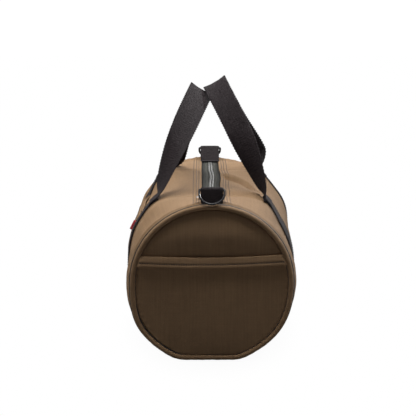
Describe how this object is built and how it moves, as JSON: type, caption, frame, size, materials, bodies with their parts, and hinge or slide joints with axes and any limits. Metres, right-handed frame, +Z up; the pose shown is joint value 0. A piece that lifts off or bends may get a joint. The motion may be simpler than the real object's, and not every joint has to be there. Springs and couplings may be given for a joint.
{
  "type": "shoulder bag",
  "caption": "Small barrel bag in canvas with two webbing handles, a top zip, a D-ring at each end and slip pockets on one end and one side.",
  "frame": {"origin": "on the ground, under the middle of the bag: the point of the base mount, on the flat of the body panel's underside", "axes": "+Z up, +Y along the zip from the end with the pocket to the plain end, +X to the right when the pocket end faces the viewer"},
  "size_m": [0.261, 0.4564, 0.399],
  "materials": {
    "canvas": "brown cotton canvas, matte",
    "lining": "grey plain-weave lining",
    "webbing": "black cotton webbing",
    "zip_tape": "charcoal zip tape",
    "zip_coil": "grey nylon coil",
    "nickel": "nickel-plated, bright",
    "black_metal": "black-coated wire, glossy",
    "red_cloth": "plain red woven cloth, bare"
  },
  "bodies": {
    "bag": {"body_panel": "canvas", "body_lining": "lining", "near_end_panel": "canvas", "far_end_panel": "canvas", "near_end_lining": "lining", "far_end_lining": "lining", "near_piping": "canvas", "far_piping": "canvas", "near_seam_binding": "webbing", "far_seam_binding": "webbing", "end_pocket_panel": "canvas", "end_pocket_hem": "canvas", "front_pocket_panel": "canvas", "front_pocket_hem": "canvas", "side_tab": "red_cloth", "near_band": "webbing", "far_band": "webbing", "near_zip_end": "zip_tape", "far_zip_end": "zip_tape", "near_coil_end_left": "zip_coil", "near_coil_end_right": "zip_coil", "far_coil_end_left": "zip_coil", "far_coil_end_right": "zip_coil", "near_dring_loop": "webbing", "far_dring_loop": "webbing"},
    "left_handle": {"left_handle": "webbing"},
    "right_handle": {"right_handle": "webbing"},
    "near_dring": {"near_dring": "black_metal"},
    "far_dring": {"far_dring": "black_metal"},
    "zip_slider": {"zip_slider": "nickel"},
    "zip_pull": {"zip_pull": "nickel"},
    "zip_left": {"zip_half_left": "zip_tape", "zip_coil_left": "zip_coil"},
    "zip_right": {"zip_half_right": "zip_tape", "zip_coil_right": "zip_coil"}
  },
  "joints": [
    {"name": "left_handle_swing", "type": "hinge", "parent": "bag", "child": "left_handle", "pos_m": [-0.08066, 0, 0.22701], "axis": [0, -1, 0], "range_deg": [0, 110]},
    {"name": "right_handle_swing", "type": "hinge", "parent": "bag", "child": "right_handle", "pos_m": [0.08066, 0, 0.22701], "axis": [0, 1, 0], "range_deg": [0, 110]},
    {"name": "near_dring_swing", "type": "hinge", "parent": "bag", "child": "near_dring", "pos_m": [0, -0.2105, 0.2523], "axis": [-1, 0, 0], "range_deg": [0, 240]},
    {"name": "far_dring_swing", "type": "hinge", "parent": "bag", "child": "far_dring", "pos_m": [0, 0.2105, 0.2523], "axis": [1, 0, 0], "range_deg": [0, 240]},
    {"name": "slider_travel", "type": "slide", "parent": "bag", "child": "zip_slider", "axis": [0, 1, 0], "range_m": [0, 0.302]},
    {"name": "pull_swing", "type": "hinge", "parent": "zip_slider", "child": "zip_pull", "pos_m": [0, -0.151, 0.235], "axis": [-0.766, 0.6428, 0], "range_deg": [0, 140]},
    {"name": "zip_left_fold", "type": "hinge", "parent": "bag", "child": "zip_left", "pos_m": [-0.0137, 0, 0.2305], "axis": [0, -1, 0], "range_deg": [0, 75]},
    {"name": "zip_right_fold", "type": "hinge", "parent": "bag", "child": "zip_right", "pos_m": [0.0137, 0, 0.2305], "axis": [0, 1, 0], "range_deg": [0, 75]}
  ]
}
